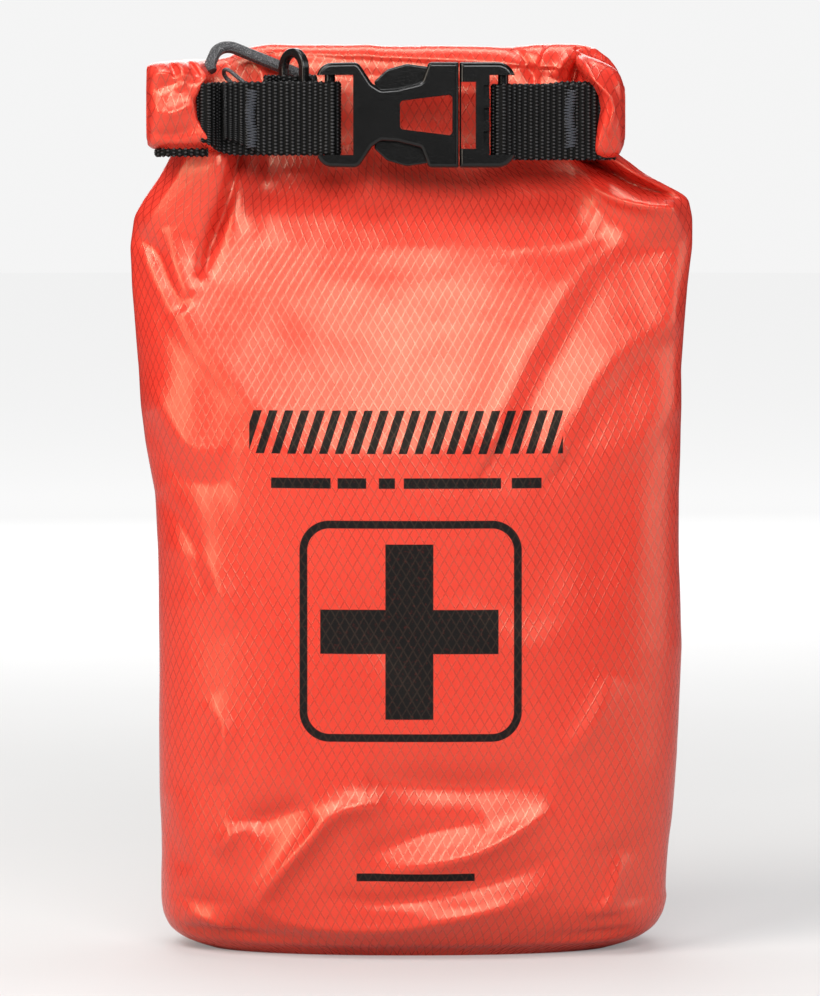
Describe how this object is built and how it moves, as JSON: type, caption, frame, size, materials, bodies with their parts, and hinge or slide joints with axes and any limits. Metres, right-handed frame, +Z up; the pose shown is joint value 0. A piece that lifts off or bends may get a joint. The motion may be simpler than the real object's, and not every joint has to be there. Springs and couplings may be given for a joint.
{
  "type": "first aid kit",
  "caption": "Roll-top waterproof first aid bag, packed and closed with a side-release buckle over the rolled mouth, with webbing straps, an oval ring and a small wire-gate carabiner.",
  "frame": {"origin": "centre of the oval base, on the surface the bag stands on", "axes": "+Z up, front of the bag (print and buckle) faces -Y, +X to the right as seen from the front"},
  "size_m": [0.1835, 0.0768, 0.296],
  "materials": {
    "coated_cloth": "orange-red coated ripstop, satin",
    "seam_tape": "clear welding tape over the cloth",
    "webbing": "black plain-woven polyester webbing",
    "thread": "bonded thread, satin",
    "buckle_plastic": "black moulded acetal, fine texture",
    "ring_plastic": "black moulded, semi gloss",
    "carabiner_coat": "dark grey speckled powder coat",
    "gate_wire": "dark grey wire, satin",
    "stiffener": "plain polyethylene strip",
    "carton": "uncoated paper board",
    "paper": "paper sachet",
    "gauze": "white gauze",
    "elastic": "skin-coloured crepe",
    "tape": "white cloth tape",
    "film": "blue film pouch",
    "foil": "folded metallised film"
  },
  "bodies": {
    "bag": {"body_panel": "coated_cloth", "base_panel": "coated_cloth", "base_seam_tape": "seam_tape", "back_seam_tape": "seam_tape", "bandage_carton": "carton", "gauze_pads": "paper", "gauze_rolls": "gauze", "elastic_bandage": "elastic", "tape_roll": "tape", "tape_core": "carton", "gloves_pouch": "film", "blanket_pouch": "foil", "wipe_sachets": "paper", "triangular_bandage": "gauze"},
    "roll": {"rolled_collar": "coated_cloth", "front_stiffener": "stiffener", "back_stiffener": "stiffener", "mouth_webbing": "webbing", "left_strap": "webbing", "left_bartack": "thread", "right_strap": "webbing", "right_bartack": "thread", "buckle_female": "buckle_plastic", "ring_keeper": "webbing"},
    "plug": {"buckle_male": "buckle_plastic"},
    "upper_prong_body": {"upper_prong": "buckle_plastic"},
    "lower_prong_body": {"lower_prong": "buckle_plastic"},
    "ring": {"accessory_ring": "ring_plastic"},
    "carabiner": {"carabiner_hook": "carabiner_coat"},
    "gate": {"carabiner_gate": "gate_wire"}
  },
  "joints": [
    {"name": "roll_tilt", "type": "hinge", "parent": "bag", "child": "roll", "pos_m": [0, 0.007, 0.258], "axis": [1, 0, 0], "range_deg": [-25, 20]},
    {"name": "buckle_release", "type": "slide", "parent": "roll", "child": "plug", "axis": [1, 0, 0], "range_m": [0, 0.0272], "deforming": ["right_strap", "right_bartack", "upper_prong", "lower_prong"]},
    {"name": "upper_prong_press", "type": "hinge", "parent": "plug", "child": "upper_prong_body", "pos_m": [0.0159, -0.022, 0.2827], "axis": [0, -1, 0], "range_deg": [0, 5.5], "stiffness_Nm_per_rad": 0.5},
    {"name": "lower_prong_press", "type": "hinge", "parent": "plug", "child": "lower_prong_body", "pos_m": [0.0159, -0.022, 0.2613], "axis": [0, 1, 0], "range_deg": [0, 5.5], "stiffness_Nm_per_rad": 0.5},
    {"name": "ring_slide", "type": "slide", "parent": "roll", "child": "ring", "axis": [0, 0, 1], "range_m": [-0.005, 0]},
    {"name": "carabiner_swing", "type": "hinge", "parent": "ring", "child": "carabiner", "pos_m": [-0.0384, -0.0097, 0.27876], "axis": [-0.2149, 0.8192, -0.5318], "range_deg": [0, 22]},
    {"name": "gate_open", "type": "hinge", "parent": "carabiner", "child": "gate", "pos_m": [-0.04574, -0.01457, 0.27422], "axis": [-0.2149, 0.8192, -0.5318], "range_deg": [0, 20], "stiffness_Nm_per_rad": 0.02}
  ]
}
